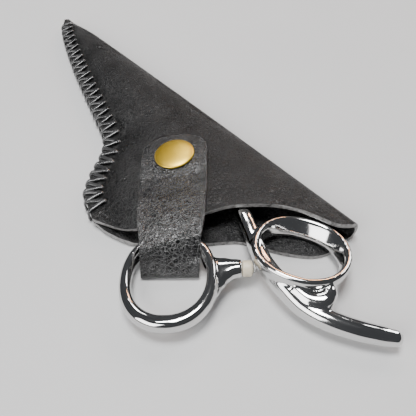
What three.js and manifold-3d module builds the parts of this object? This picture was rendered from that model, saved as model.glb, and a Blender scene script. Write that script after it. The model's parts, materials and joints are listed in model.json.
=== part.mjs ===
// Hair cutting shears resting in a folded, laced leather holster.
// Millimetres. While building, the shears' pivot stands over (PIVOT_X, 0), the blades run along +Y
// and the table is z = 0. At the end everything moves so the origin is the bounding box's bottom centre.
import * as THREE from 'three';
import { mergeVertices } from 'three/addons/utils/BufferGeometryUtils.js';
import Module from 'manifold-3d';

const wasm = await Module();
wasm.setup();

// ---- Driving dimensions -------------------------------------------------------------------------
const LEATHER = 1.6;            // thickness of the folded leather
const FLANGE_LIFT = 0.8;        // room under the laced edge for the lace on the back
const FOLD_TOP_X = 5.0, FOLD_TOP_Y = 74, FOLD_SLOPE = 0.2213;   // the straight folded edge
// the laced edge, tip to mouth: [y, x]
const LACED_EDGE = [[82.5, 0.6], [70, -3.8], [43, -8.3], [11, -11.7], [-5, -13.7], [-13, -18],
  [-22, -26], [-32, -30.6], [-60, -31.5], [-100, -31.5]];
const FLANGE_WIDTH = [[-40, 6.6], [0, 6.0], [45, 5.4], [70, 4.8]];      // flat laced margin, by y
const CROWN = [[-90, 9.6], [-60, 10.1], [-30, 10.2], [0, 10.0], [40, 9.2], [60, 8.6], [80, 6.4]];
const CROWN_EASE = [[-55, 4.4], [-32, 6.5], [0, 3.6], [40, 2.4], [70, 1.9]];
const FOLD_HEIGHT = [[-85, 6.6], [60, 6.2], [80, 5.0]];
const POCKET_END_Y = 66;
// front lip and back lip of the mouth, laced side to fold: [x, y]
const FRONT_LIP = [[-31.5, -38.6], [-29.6, -41], [-25, -47.4], [-21.5, -51.2], [-16, -54.2], [-10, -56],
  [0, -58], [8.5, -59.4], [15.7, -62.4], [22, -65.8], [26.8, -69.6], [30.6, -74.2], [34, -79.6],
  [37, -82], [44, -84]];
const BACK_LIP = [[-31, -38.8], [-28.6, -45], [-24, -51.6], [-19.5, -53.4], [-17.6, -52.2], [-12.2, -55.2],
  [-6, -58.6], [-3.6, -62.4], [6.6, -67], [12, -72], [18, -78.2], [25, -83.2], [31, -84.6], [36.4, -83.6], [40.5, -83]];
// lacing
const LACE_PITCH = 4.35, LACE_WIDTH = 1.9, LACE_THICK = 0.75, LACE_HOLE_R = 0.95, LACE_GAP = 0.12;
// shears
const PIVOT_X = 3.5, BLADE_TIP_Y = 60, BOSS_R = 6.2, BORE_R = 2.5, PIN_R = 2.3;
const LOW_BOTTOM = 2.2, LOW_TOP = 3.7, HIGH_BOTTOM = 4.05, HIGH_TOP = 5.55;
const VIEW_TURN = 29.2;         // the strap and the thumb ring are turned this much from the blades
const THUMB = { x: -20.2, y: -71.1, z: 5.3, a: 12.6, b: 14.3, psi: -VIEW_TURN, tilt: -5, hr: 1.45, hz: 2.7, swell: 0.9 };
const FINGER = { x: 16.7, y: -83.3, z: 7.2, a: 11.8, b: 13.3, psi: 38.4, tilt: 12, hr: 1.2, hz: 2.0,
  lean: 30, taller: 1.4 };
const BUMPER_AT = 21.1;
// strap and snap
const STRAP_HALF = 0.6, TAB_HALF = 0.45, SNAP_X = 1.6, SNAP_Y = -33.2, CAP_R = 6.7;
const CREASE_W = 1.0, CREASE_Z = 1.15;

// ---- Small tools --------------------------------------------------------------------------------
const rad = (deg) => deg * Math.PI / 180;
const mix = (a, b, t) => a + (b - a) * t;
const clamp01 = (t) => Math.min(1, Math.max(0, t));
const smooth = (t) => { const c = clamp01(t); return c * c * (3 - 2 * c); };

// Reads a value between [position, value] stops, in either order, with a smooth blend.
function stop(stops, p) {
  const list = stops[0][0] < stops[stops.length - 1][0] ? stops : [...stops].reverse();
  if (p <= list[0][0]) return list[0][1];
  for (let i = 1; i < list.length; i++) {
    const [p0, v0] = list[i - 1], [p1, v1] = list[i];
    if (p <= p1) return mix(v0, v1, (p - p0) / (p1 - p0));
  }
  return list[list.length - 1][1];
}

// Turns a closed surface outward if it was wound inward, and drops triangles with no area.
function tidy(geometry) {
  const g = mergeVertices(stripped(geometry), 1e-4);
  const p = g.attributes.position, old = g.index.array, keep = [];
  let volume = 0;
  const a = new THREE.Vector3(), b = new THREE.Vector3(), c = new THREE.Vector3();
  for (let i = 0; i < old.length; i += 3) {
    if (old[i] === old[i + 1] || old[i + 1] === old[i + 2] || old[i] === old[i + 2]) continue;
    keep.push(old[i], old[i + 1], old[i + 2]);
    a.fromBufferAttribute(p, old[i]); b.fromBufferAttribute(p, old[i + 1]); c.fromBufferAttribute(p, old[i + 2]);
    volume += a.dot(b.clone().cross(c));
  }
  if (volume < 0) for (let i = 0; i < keep.length; i += 3) [keep[i], keep[i + 1]] = [keep[i + 1], keep[i]];
  g.setIndex(keep);
  return g;
}

function stripped(geometry) {
  const g = new THREE.BufferGeometry();
  g.setAttribute('position', geometry.attributes.position.clone());
  if (geometry.index) g.setIndex(Array.from(geometry.index.array));
  return g;
}

// A solid through rings of points; a closed one joins its last ring to its first.
function skin(rings, closed = false) {
  const n = rings[0].length, m = rings.length, pos = rings.flat(2), index = [];
  for (let i = 0; i < (closed ? m : m - 1); i++) {
    for (let j = 0; j < n; j++) {
      const a = i * n + j, b = i * n + (j + 1) % n, k = ((i + 1) % m) * n;
      index.push(a, b, k + (j + 1) % n, a, k + (j + 1) % n, k + j);
    }
  }
  if (!closed) {
    for (const i of [0, m - 1]) {
      const mid = [0, 1, 2].map((k) => rings[i].reduce((s, q) => s + q[k], 0) / n);
      const c = pos.length / 3;
      pos.push(...mid);
      for (let j = 0; j < n; j++) {
        const a = i * n + j, b = i * n + (j + 1) % n;
        if (i === 0) index.push(c, b, a); else index.push(c, a, b);
      }
    }
  }
  return tidy(rawGeometry(pos, index));
}

// A solid between a top grid and a bottom grid of points of the same size.
function slab(top, bottom) {
  const m = top.length, n = top[0].length, pos = [...top.flat(2), ...bottom.flat(2)], index = [], k = m * n;
  const quad = (a, b, c, d) => index.push(a, b, c, a, c, d);
  for (let i = 0; i < m - 1; i++) {
    for (let j = 0; j < n - 1; j++) {
      const a = i * n + j;
      quad(a, a + 1, a + n + 1, a + n);
      quad(k + a, k + a + n, k + a + n + 1, k + a + 1);
    }
    const l = i * n, r = i * n + n - 1;
    quad(l, l + n, k + l + n, k + l);
    quad(r, k + r, k + r + n, r + n);
  }
  for (let j = 0; j < n - 1; j++) {
    const f = j, b = (m - 1) * n + j;
    quad(f, k + f, k + f + 1, f + 1);
    quad(b, b + 1, k + b + 1, k + b);
  }
  return tidy(rawGeometry(pos, index));
}

function rawGeometry(pos, index) {
  const g = new THREE.BufferGeometry();
  g.setAttribute('position', new THREE.Float32BufferAttribute(pos, 3));
  g.setIndex(index);
  return g;
}

function solid(geometry) {
  const g = tidy(geometry);
  const vertProperties = new Float32Array(g.attributes.position.array);
  return new wasm.Manifold(new wasm.Mesh({ numProp: 3, vertProperties, triVerts: new Uint32Array(g.index.array) }));
}

function unsolid(manifold) {
  const mesh = manifold.getMesh();
  return rawGeometry(Array.from(mesh.vertProperties), Array.from(mesh.triVerts));
}

const join = (...parts) => unsolid(parts.map(solid).reduce((a, b) => a.add(b)));
const cut = (base, ...tools) => unsolid(tools.map(solid).reduce((a, b) => a.subtract(b), solid(base)));
const common = (a, b) => unsolid(solid(a).intersect(solid(b)));

// An upright prism over a closed outline of [x, y] points.
function prism(outline, z0, z1) {
  const shape = new THREE.Shape(outline.map(([x, y]) => new THREE.Vector2(x, y)));
  return new THREE.ExtrudeGeometry(shape, { depth: z1 - z0, bevelEnabled: false, steps: 1 }).translate(0, 0, z0);
}

function disc(x, y, r, z0, z1, sides = 24) {
  return prism(Array.from({ length: sides }, (_, i) => {
    const t = 2 * Math.PI * i / sides;
    return [x + r * Math.cos(t), y + r * Math.sin(t)];
  }), z0, z1);
}

// A turned solid about +Z; the profile of [r, z] points starts and ends on the axis.
function turned(profile, sides = 24) {
  return new THREE.LatheGeometry(profile.map(([r, z]) => new THREE.Vector2(r, z)), sides).rotateX(Math.PI / 2);
}

// One point of a rounded rectangle (superellipse).
function roundBox(t, a, b, power) {
  const c = Math.cos(t), s = Math.sin(t), e = 2 / power;
  return [a * Math.sign(c) * Math.abs(c) ** e, b * Math.sign(s) * Math.abs(s) ** e];
}

// A limb through stations [x, y, z, half width, half height], its section upright and across its run.
function limb(stations, { steps = 3, sides = 12, power = 2.6 } = {}) {
  const path = new THREE.CatmullRomCurve3(stations.map((s) => new THREE.Vector3(s[0], s[1], s[2])));
  const spans = stations.length - 1, count = spans * steps, rings = [];
  for (let i = 0; i <= count; i++) {
    const t = i / count, p = path.getPoint(t), d = path.getTangent(t);
    const k = Math.min(spans - 1, Math.floor(t * spans)), f = smooth(t * spans - k);
    const hw = mix(stations[k][3], stations[k + 1][3], f), hh = mix(stations[k][4], stations[k + 1][4], f);
    const len = Math.hypot(d.x, d.y), sx = d.y / len, sy = -d.x / len;
    rings.push(Array.from({ length: sides }, (_, j) => {
      const [u, v] = roundBox(2 * Math.PI * j / sides, hw, hh, power);
      return [p.x + sx * u, p.y + sy * u, p.z + v];
    }));
  }
  return skin(rings);
}

// A finger hole's band: a rounded section carried round an oval, turned by psi and tilted.
function ringBand(r, { around = 36, sides = 10, power = 2.4, oval = 2.15 } = {}) {
  const turn = new THREE.Matrix4().makeRotationZ(rad(r.psi))
    .multiply(new THREE.Matrix4().makeRotationY(rad(r.tilt)));
  const rings = [];
  for (let i = 0; i < around; i++) {
    const t = 2 * Math.PI * i / around;
    rings.push(Array.from({ length: sides }, (_, j) => {
      const hr = r.hr + (r.swell ?? 0) * (0.5 - 0.5 * Math.sin(t)) ** 2;
      const outer = (0.5 + 0.5 * Math.cos(t + 0.17)) ** 1.3, lean = rad((r.lean ?? 0) * outer);
      const [p, q0] = roundBox(2 * Math.PI * j / sides, hr, r.hz + (r.taller ?? 0) * outer, power);
      const u = p * Math.cos(lean) + q0 * Math.sin(lean), v = q0 * Math.cos(lean) - p * Math.sin(lean);
      const [x, y] = roundBox(t, r.a, r.b, oval);
      const nx = Math.cos(t) / r.a, ny = Math.sin(t) / r.b, n = Math.hypot(nx, ny);
      const q = new THREE.Vector3(x + u * nx / n, y + u * ny / n, v).applyMatrix4(turn);
      return [r.x + q.x, r.y + q.y, r.z + q.z];
    }));
  }
  return skin(rings, true);
}

// ---- The holster's shape ------------------------------------------------------------------------
const edgeCurve = new THREE.SplineCurve(LACED_EDGE.map(([y, x]) => new THREE.Vector2(x, y))).getPoints(80);
const foldX = (y) => FOLD_TOP_X + (FOLD_TOP_Y - y) * FOLD_SLOPE;
const lacedX = (y) => stop(edgeCurve.map((p) => [p.y, p.x]), y);

function edgeGap(x, y) {
  let best = 1e9;
  for (let i = 1; i < edgeCurve.length; i++) {
    const a = edgeCurve[i - 1], b = edgeCurve[i], dx = b.x - a.x, dy = b.y - a.y;
    const t = clamp01(((x - a.x) * dx + (y - a.y) * dy) / (dx * dx + dy * dy));
    best = Math.min(best, Math.hypot(x - a.x - t * dx, y - a.y - t * dy));
  }
  return best;
}

const flange = (y) => stop(FLANGE_WIDTH, y);
const foldRadius = (y) => Math.min(stop(FOLD_HEIGHT, y) / 2, (foldX(y) - lacedX(y)) * 0.3);

// Height of the front panel's outer face before the fold is rounded.
function roof(x, y) {
  const base = FLANGE_LIFT + 2 * LEATHER, crown = stop(CROWN, y);
  const d = Math.max(0, edgeGap(x, y) - flange(y)), e = Math.max(0, foldX(y) - x);
  const kf = (2 * foldRadius(y) - base) / (crown - base), k = kf + (1 - kf) * (1 - Math.exp(-e / 4));
  return base + (crown - base) * (1 - Math.exp(-d / stop(CROWN_EASE, y))) * k;
}

const sole = (x, y) => FLANGE_LIFT * (1 - smooth((edgeGap(x, y) - flange(y) + 0.4) / 3));

// x where the pocket starts beside the laced margin.
function pocketX(y) {
  let lo = lacedX(y), hi = foldX(y) - foldRadius(y) - 1.5;
  for (let i = 0; i < 30; i++) {
    const mid = (lo + hi) / 2;
    if (edgeGap(mid, y) < flange(y)) lo = mid; else hi = mid;
  }
  return lo;
}

const ACROSS = [0.06, 0.14, 0.26, 0.44, 0.64, 0.84, 1];
const ROUND = [0.6, 0.28, 0.08, 0];

function outerRow(y) {
  const x0 = lacedX(y), x1 = foldX(y), rf = foldRadius(y), xp = pocketX(y), xm = x1 - rf;
  const xs = [x0, (x0 + xp) / 2, xp, ...ACROSS.map((u) => mix(xp, xm, u)), ...ROUND.map((u) => x1 - rf * u)];
  return xs.map((x) => {
    const e = x1 - x, k = e < rf ? Math.sqrt(Math.max(0, 1 - ((rf - e) / rf) ** 2)) : 1;
    return { x, top: rf + (roof(x, y) - rf) * k + 0.02, bottom: rf - (rf - sole(x, y)) * k - 0.0 };
  });
}

function pocketRow(y) {
  const x1 = foldX(y) - LEATHER, ri = Math.max(0.5, foldRadius(y) - LEATHER), rf = foldRadius(y);
  const xp = pocketX(y), xm = x1 - ri;
  const xs = [xp, ...ACROSS.map((u) => mix(xp, xm, u)), ...ROUND.map((u) => x1 - ri * u)];
  return xs.map((x) => {
    const e = x1 - x, k = e < ri ? Math.sqrt(Math.max(0, 1 - ((ri - e) / ri) ** 2)) : 1;
    return { x, top: rf + (roof(x, y) - LEATHER - rf) * k + 0.02, bottom: rf - (rf - LEATHER - sole(x, y)) * k - 0.02 };
  });
}

function rowsToSlab(ys, row) {
  const rows = ys.map((y) => row(y).map((s) => ({ ...s, y })));
  return slab(rows.map((r) => r.map((s) => [s.x, s.y, s.top])), rows.map((r) => r.map((s) => [s.x, s.y, s.bottom])));
}

const span = (a, b, n) => Array.from({ length: n + 1 }, (_, i) => mix(a, b, i / n));

function laceStops() {
  // walk along the laced edge and put a hole every LACE_PITCH, inside the margin
  const stops = [];
  let along = 0, next = 3.2;
  for (let i = 1; i < edgeCurve.length; i++) {
    const a = edgeCurve[i - 1], b = edgeCurve[i], step = a.distanceTo(b);
    while (next <= along + step) {
      const p = a.clone().lerp(b, (next - along) / step), d = b.clone().sub(a).normalize();
      const inward = [-d.y, d.x];
      if (inward[0] < 0) { inward[0] *= -1; inward[1] *= -1; }
      if (p.y > -36.5 && p.y < 81) stops.push({ x: p.x, y: p.y, nx: inward[0], ny: inward[1] });
      next += LACE_PITCH / 2;
    }
    along += step;
  }
  return stops;
}

const laceInset = (y) => flange(y) - 1.5;

function makeSheath() {
  const ys = [...span(83, 68, 3), ...span(60, 6, 6), ...span(-1, -42, 11), ...span(-46, -91, 8)];
  let body = rowsToSlab(ys, outerRow);
  const plan = [[3.4, 82.2], [4.9, 80.6], [5.4, 77.5], [FOLD_TOP_X + 0.6, FOLD_TOP_Y], [60, -60], [60, -80],
    ...[...BACK_LIP].reverse(), [-33, -34], [-33, -20], [-22, -10], [-16, 20], [-12, 50], [-6, 70],
    [-1.4, 79.4], [0.6, 81.8], [2, 82.6]];
  body = common(body, prism(plan, -1, 20));
  const py = [...span(POCKET_END_Y, 6, 7), ...span(-1, -42, 11), ...span(-46, -96, 9)];
  body = cut(body, rowsToSlab(py, pocketRow));
  body = cut(body, prism([...FRONT_LIP, [42, -110], [-40, -110], [-40, -38.6]], 3.0, 20));
  const holes = laceStops().filter((_, i) => i % 2 === 0).map((s) =>
    disc(s.x + s.nx * laceInset(s.y), s.y + s.ny * laceInset(s.y), LACE_HOLE_R, -1, 8, 8));
  const rivets = RIVETS.flatMap(([x, y]) => [disc(x, y, 1.15, -1, 3, 12), disc(x, y, 2.5, -1, 0.55, 16)]);
  return cut(body, ...holes, ...rivets, snapPlace(disc(0, 0, 1.25, -4, 3, 12)));
}

// Outline of a flat zigzag ribbon through the points, its outer corners cut square.
function zigzagOutline(points, w) {
  const left = [], right = [], reach = 0.45, n = points.length;
  const unit = (a, b) => { const l = Math.hypot(b[0] - a[0], b[1] - a[1]); return [(b[0] - a[0]) / l, (b[1] - a[1]) / l]; };
  const put = (p, d, along, across) => [p[0] + d[0] * along - d[1] * across, p[1] + d[1] * along + d[0] * across];
  for (let i = 0; i < n; i++) {
    const p = points[i], d0 = i > 0 ? unit(points[i - 1], p) : null, d1 = i < n - 1 ? unit(p, points[i + 1]) : null;
    if (!d0) { left.push(put(p, d1, -reach, w)); right.push(put(p, d1, -reach, -w)); continue; }
    if (!d1) { left.push(put(p, d0, reach, w)); right.push(put(p, d0, reach, -w)); continue; }
    const turn = Math.sign(d0[0] * d1[1] - d0[1] * d1[0]);
    const bend = Math.acos(Math.max(-1, Math.min(1, d0[0] * d1[0] + d0[1] * d1[1])));
    const inner = put(put(p, d0, -w * Math.tan(bend / 2), turn * w), d0, 0, 0);
    const outer = [put(p, d0, reach, -turn * w), put(p, d1, -reach, -turn * w)];
    (turn > 0 ? left : right).push(inner);
    (turn > 0 ? right : left).push(...outer);
  }
  return [...left, ...right.reverse()];
}

// The lace crosses the margin in a zigzag, in front and behind, through every hole and round the edge.
function makeLacing() {
  const stops = laceStops(), top = FLANGE_LIFT + 2 * LEATHER, half = LACE_THICK / 2;
  const front = top + LACE_GAP + half, back = half + 0.01, outside = 0.2 + half, w = LACE_WIDTH / 2;
  const hole = (s) => [s.x + s.nx * laceInset(s.y), s.y + s.ny * laceInset(s.y)];
  const rim = (s) => [s.x - s.nx * outside, s.y - s.ny * outside];
  const points = stops.map((s, i) => (i % 2 === 0 ? hole(s) : rim(s)));
  const outline = zigzagOutline(points, w);
  const parts = [prism(outline, front - half, front + half), prism(outline, back - half, back + half)];
  stops.forEach((s, i) => {
    const [x, y] = points[i], tx = -s.ny, ty = s.nx, at = (l, k) => [x + tx * l + s.nx * k, y + ty * l + s.ny * k];
    parts.push(i % 2 === 0 ? disc(x, y, LACE_HOLE_R - 0.2, back, front, 8)
      : prism([at(-0.9, -half), at(0.9, -half), at(0.9, half), at(-0.9, half)], back, front));
  });
  return join(...parts);
}

// ---- Strap and snap -----------------------------------------------------------------------------
const FORWARD = [Math.sin(rad(VIEW_TURN)), Math.cos(rad(VIEW_TURN))], SIDE = [FORWARD[1], -FORWARD[0]];
// a place told by how far it lies forward of the thumb ring's centre (w) and to its right (lat)
const spot = (w, lat) => [THUMB.x + FORWARD[0] * w + SIDE[0] * lat, THUMB.y + FORWARD[1] * w + SIDE[1] * lat];
const RIVETS = [spot(21.2, -6.2), spot(21.2, 4.2)];
const STRAP_PATH = [[3.4, 1.95], [4.6, 3.5], [6.0, 5.5], [7.7, 7.9], [9.6, 9.75], [12.2, 10.6], [15, 10.8],
  [18.5, 10.9], [23, 11.0], [29, 11.0], [36, 11.0], [44.5, 11.0], [53.4, 11.0]];
const STRAP_WIDTH = [[0, 17.4], [9, 17.6], [12, 18.6], [17, 20.4], [30, 21.6], [60, 22]];

function strapHalfWidth(w) {
  const start = 45, end = 53.4, k = clamp01((w - start) / (end - start));
  return stop(STRAP_WIDTH, w) / 2 * Math.max(0.16, (1 - k ** 2.5) ** (1 / 2.5));
}

// Height of the strap's underside: its own run, or the front panel where it lies on it.
function strapUnder(w, lat, z) {
  const [x, y] = spot(w, lat), stand = mix(0.3, 1.3, smooth((w - 34) / 6));
  const free = z - STRAP_HALF + 0.087 * lat * smooth((w - 2) / 6);
  return w > 15 ? Math.max(free - 0.6 * smooth((w - 24) / 6), roof(x, y) + stand) : free;
}

function makeStrap() {
  const path = new THREE.CatmullRomCurve3(STRAP_PATH.map(([w, z]) => new THREE.Vector3(w, z, 0)));
  const steps = 40, top = [], bottom = [], cols = 6;
  for (let i = 0; i <= steps; i++) {
    const p = path.getPoint(i / steps), d = path.getTangent(i / steps), hw = strapHalfWidth(p.x);
    const nx = -d.y, nz = d.x, rowT = [], rowB = [];
    for (let j = 0; j <= cols; j++) {
      const lat = mix(-hw, hw, j / cols), under = strapUnder(p.x, lat, p.y) + STRAP_HALF;
      const [tx, ty] = spot(p.x + nx * STRAP_HALF, lat), [bx, by] = spot(p.x - nx * STRAP_HALF, lat);
      rowT.push([tx, ty, under + nz * STRAP_HALF]);
      rowB.push([bx, by, under - nz * STRAP_HALF]);
    }
    top.push(rowT); bottom.push(rowB);
  }
  return cut(slab(top, bottom), snapPlace(disc(0, 0, 1.25, 0.4, 4, 12)));
}

// The strap's lower end: flat on the table through the thumb ring, then up onto the back panel.
function makeTab() {
  const run = [[2.7, 0.62, 17.4, 0], [6, 0.62, 17.4, 0], [11, 0.7, 16.4, 0], [13.4, 1.0, 14.6, -0.5],
    [15.2, 1.5, 13.4, -1], [16.6, 2.1, 12.6, -1], [18, 2.2, 12.2, -1], [24.4, 2.2, 12, -1]];
  const top = [], bottom = [];
  for (const [w, z, width, mid] of run) {
    const row = span(mid - width / 2, mid + width / 2, 6).map((lat) => spot(w, lat));
    top.push(row.map(([x, y]) => [x, y, z + TAB_HALF]));
    bottom.push(row.map(([x, y]) => [x, y, z - TAB_HALF]));
  }
  return cut(slab(top, bottom), ...RIVETS.map(([x, y]) => disc(x, y, 1.15, -1, 4, 12)));
}

// Puts a piece built about the origin onto the front panel where the snap sits, square to the leather.
function snapPlace(geometry) {
  const h = 3, z = roof(SNAP_X, SNAP_Y), dx = (roof(SNAP_X + h, SNAP_Y) - roof(SNAP_X - h, SNAP_Y)) / (2 * h);
  const dy = (roof(SNAP_X, SNAP_Y + h) - roof(SNAP_X, SNAP_Y - h)) / (2 * h);
  const normal = new THREE.Vector3(-dx, -dy, 1).normalize();
  const q = new THREE.Quaternion().setFromUnitVectors(new THREE.Vector3(0, 0, 1), normal);
  return geometry.clone().applyQuaternion(q).translate(SNAP_X, SNAP_Y, z);
}

function makeSnapStud() {
  return snapPlace(turned([[0, -2.15], [2.8, -2.15], [2.9, -1.8], [1.05, -1.75], [1.05, 0.15], [3.1, 0.18],
    [3.1, 0.5], [1.7, 0.55], [1.8, 0.85], [1.4, 1.02], [0, 1.05]], 20));
}

function makeSnapSocket() {
  const ring = cut(disc(0, 0, 4.1, 0.62, 1.2, 24), disc(0, 0, 2.1, 0, 2, 20));
  return snapPlace(ring);
}

function makeSnapCap() {
  return snapPlace(turned([[0, 1.16], [1.0, 1.18], [1.0, 2.72], [6.3, 2.76], [CAP_R, 2.95], [6.6, 3.2], [5.6, 3.62],
    [4.0, 3.98], [2.0, 4.2], [0, 4.28]], 32));
}

function makeRivet([x, y]) {
  return turned([[0, 0.04], [2.1, 0.04], [2.2, 0.42], [0.95, 0.46], [0.95, 2.75], [1.95, 2.78], [1.8, 3.02],
    [1.0, 3.2], [0, 3.25]], 16).translate(x, y, 0);
}

// ---- Shears -------------------------------------------------------------------------------------
// One blade from the pivot to the tip; side +1 has its spine on +X. Its inner face is flat.
function makeBlade(side, inner, outward) {
  const rows = [[-5, 5.6, 4.6, 1.5], [6, 6.0, 3.6, 1.5], [14, 5.8, 2.8, 1.5], [26, 5.1, 2.3, 1.5], [38, 4.1, 1.8, 1.4],
    [48, 3.0, 1.4, 1.2], [55, 1.9, 0.9, 1.0], [58.6, 1.1, 0.5, 0.9], [BLADE_TIP_Y, 0.5, 0.2, 0.8]];
  const columns = [[0, 0.16], [0.12, 0.42], [0.3, 0.74], [0.5, 0.94], [0.72, 1], [0.9, 0.92], [1, 0.66]];
  const flat = [], back = [];
  for (const [y, spine, edge, thick] of rows) {
    const x0 = PIVOT_X - 0.005 * y - side * edge, x1 = PIVOT_X - 0.005 * y + side * spine;
    flat.push(columns.map(([u]) => [mix(x0, x1, u), y, inner]));
    back.push(columns.map(([u, t]) => [mix(x0, x1, u), y, inner + outward * thick * t]));
  }
  return slab(flat, back);
}

function makeThumbForging() {
  const shank = limb([[PIVOT_X, -2, 4.8, 4.4, 0.74], [2.4, -12, 4.85, 3.4, 0.78], [0.4, -22, 5.0, 2.9, 0.9],
    [-2.2, -33, 5.3, 2.7, 1.5], [-5.6, -45, 5.5, 2.7, 1.75], [-9.0, -54, 5.6, 2.9, 1.8],
    [-11.2, -60.2, 5.6, 3.6, 2.0]], { power: 3 });
  const at = (lat, w) => spot(w, lat);
  const stub = limb([[...at(11.3, 0.9), 5.9, 7.4, 2.3], [...at(13.6, 1.7), 5.9, 5.4, 2.3],
    [...at(16.2, 2.5), 5.9, 3.8, 2.35], [...at(18.8, 2.9), 5.9, 2.9, 2.4],
    [...at(BUMPER_AT - 0.2, 3.0), 5.9, 2.55, 2.45]],
    { steps: 3, power: 2.1 });
  const whole = join(makeBlade(1, HIGH_BOTTOM, 1), disc(PIVOT_X, 0, BOSS_R, HIGH_BOTTOM, HIGH_TOP, 32), shank,
    ringBand(THUMB), stub);
  return cut(whole, disc(PIVOT_X, 0, BORE_R, 0, 9, 24), bumperAxis(turned([[0, -3.2], [1.2, -3.2], [1.2, 1.0], [0, 1.0]], 12)));
}

function makeFingerForging() {
  const shank = limb([[PIVOT_X, -2, 2.95, 4.4, 0.74], [4.6, -12, 2.95, 3.4, 0.74], [7.0, -23, 3.1, 2.9, 0.86],
    [9.8, -35, 4.2, 2.7, 1.7], [11.6, -47, 5.2, 2.6, 2.0], [11.4, -58, 5.9, 2.5, 2.1], [9.4, -67, 6.4, 2.4, 2.4],
    [7.2, -75, 6.4, 2.4, 2.8], [6.1, -81, 6.0, 2.5, 3.0]], { power: 3 });
  const tang = limb([[6.6, -77, 6.3, 2.4, 3.0], [6.1, -83, 6.2, 2.6, 3.5], [6.7, -90, 5.7, 2.9, 3.6],
    [8.4, -97.2, 4.7, 3.0, 3.4], [11.8, -103.6, 4.6, 3.0, 3.3], [16.4, -109.2, 4.4, 2.9, 3.1],
    [21.2, -113.8, 4.2, 2.7, 2.9], [24.4, -116.5, 4.1, 2.3, 2.5], [25.7, -117.5, 4.05, 1.3, 1.5]],
    { steps: 3, sides: 12, power: 2.2 });
  const web = limb([[7.6, -92.5, 6.8, 1.6, 3.0], [10.2, -97.0, 6.5, 2.6, 3.0], [13.2, -99.4, 6.2, 3.0, 2.8],
    [16.0, -99.6, 5.8, 2.4, 2.5], [18.0, -98.6, 5.6, 1.3, 2.0]],
    { steps: 3, power: 2.2 });
  const whole = join(makeBlade(-1, LOW_TOP, -1), disc(PIVOT_X, 0, BOSS_R, LOW_BOTTOM, LOW_TOP, 32), shank,
    ringBand(FINGER, { power: 2.8 }), tang, web);
  return cut(whole, disc(PIVOT_X, 0, BORE_R, 0, 9, 24), disc(PIVOT_X, 0, 3.8, 0, 2.85, 24));
}

function bumperAxis(geometry) {
  const [x, y] = spot(3.0, BUMPER_AT), q = new THREE.Quaternion()
    .setFromUnitVectors(new THREE.Vector3(0, 0, 1), new THREE.Vector3(SIDE[0], SIDE[1], 0));
  return geometry.clone().applyQuaternion(q).translate(x, y, 5.9);
}

const makeBumper = () => bumperAxis(turned([[0, -2.9], [0.95, -2.9], [0.95, -0.02], [2.1, 0], [2.4, 0.3], [2.4, 2.3],
  [2.1, 2.9], [1.5, 3.1], [0, 3.15]], 20));
const makeBumperTip = () => bumperAxis(turned([[0, 3.22], [1.2, 3.22], [1.35, 3.5], [1.1, 3.95], [0, 4.1]], 16));
const makePin = () => turned([[0, 2.24], [3.5, 2.24], [3.6, 2.7], [PIN_R, 2.74], [PIN_R, 5.6], [1.7, 5.62],
  [1.7, 6.85], [1.4, 7.0], [0, 7.0]], 24).translate(PIVOT_X, 0, 0);
const makeWasher = () => cut(disc(PIVOT_X, 0, 5.4, 3.76, 3.99, 28), disc(PIVOT_X, 0, 2.6, 3, 5, 24));

function makeDial() {
  let dial = turned([[0, 5.68], [4.7, 5.68], [4.9, 5.95], [4.9, 6.55], [4.5, 6.95], [2.6, 7.1], [0, 7.1]], 36);
  const notch = (t) => disc(PIVOT_X + 5.35 * Math.cos(t), 5.35 * Math.sin(t), 0.8, 5, 8, 8);
  dial = dial.translate(PIVOT_X, 0, 0);
  const slot = prism([[PIVOT_X - 3.9, -0.55], [PIVOT_X + 3.9, -0.55], [PIVOT_X + 3.9, 0.55], [PIVOT_X - 3.9, 0.55]],
    6.55, 8);
  return cut(dial, disc(PIVOT_X, 0, 1.85, 5, 8, 20), slot, ...span(0, 11, 11).map((i) => notch(rad(30 * i))));
}

// ---- Assembly -----------------------------------------------------------------------------------
const BLACK = { color: 0x17171a, roughness: 0.5, metalness: 0 };
const STEEL = { color: 0xc9ccd0, roughness: 0.14, metalness: 1 };
const BRASS = { color: 0xd8b04c, roughness: 0.28, metalness: 1 };
const CREAM = { color: 0xe7dfc8, roughness: 0.4, metalness: 0 };
const pieces = [
  ['sheath_leather', makeSheath, BLACK],
  ['edge_lacing', makeLacing, { color: 0x0e0e10, roughness: 0.3, metalness: 0 }],
  ['strap_tab', makeTab, BLACK],
  ['tab_rivet_left', () => makeRivet(RIVETS[0]), BRASS],
  ['tab_rivet_right', () => makeRivet(RIVETS[1]), BRASS],
  ['snap_stud', makeSnapStud, BRASS],
  ['holster_strap', makeStrap, BLACK],
  ['snap_socket', makeSnapSocket, BRASS],
  ['snap_cap', makeSnapCap, BRASS],
  ['finger_forging', makeFingerForging, STEEL],
  ['pivot_pin', makePin, STEEL],
  ['pivot_washer', makeWasher, CREAM],
  ['tension_dial', makeDial, STEEL],
  ['thumb_forging', makeThumbForging, STEEL],
  ['bumper', makeBumper, CREAM],
  ['bumper_tip', makeBumperTip, { color: 0xe9ecee, roughness: 0.15, metalness: 0, transparent: true, opacity: 0.6 }],
];

const part = new THREE.Group();
part.name = 'hair_cutting_shears_in_holster';
const box = new THREE.Box3();
for (const [name, make, look] of pieces) {
  const geometry = tidy(make());
  geometry.computeVertexNormals();
  const mesh = new THREE.Mesh(geometry, new THREE.MeshStandardMaterial(look));
  mesh.name = name;
  geometry.computeBoundingBox();
  box.union(geometry.boundingBox);
  part.add(mesh);
}
const centre = box.getCenter(new THREE.Vector3());
for (const mesh of part.children) mesh.geometry.translate(-centre.x, -centre.y, -box.min.z);

export default part;
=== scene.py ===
# Hair cutting shears in a laced leather holster, on a plain pale floor.
# Shapes are worked out in millimetres in the frame the CAD was built in (pivot over x = 3.5, y = 0,
# table z = 0, blades along +Y) and moved to the row frame, in metres, when a mesh is made.
import json
import math
import random

import bpy
from mathutils import Matrix, Vector, noise


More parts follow.
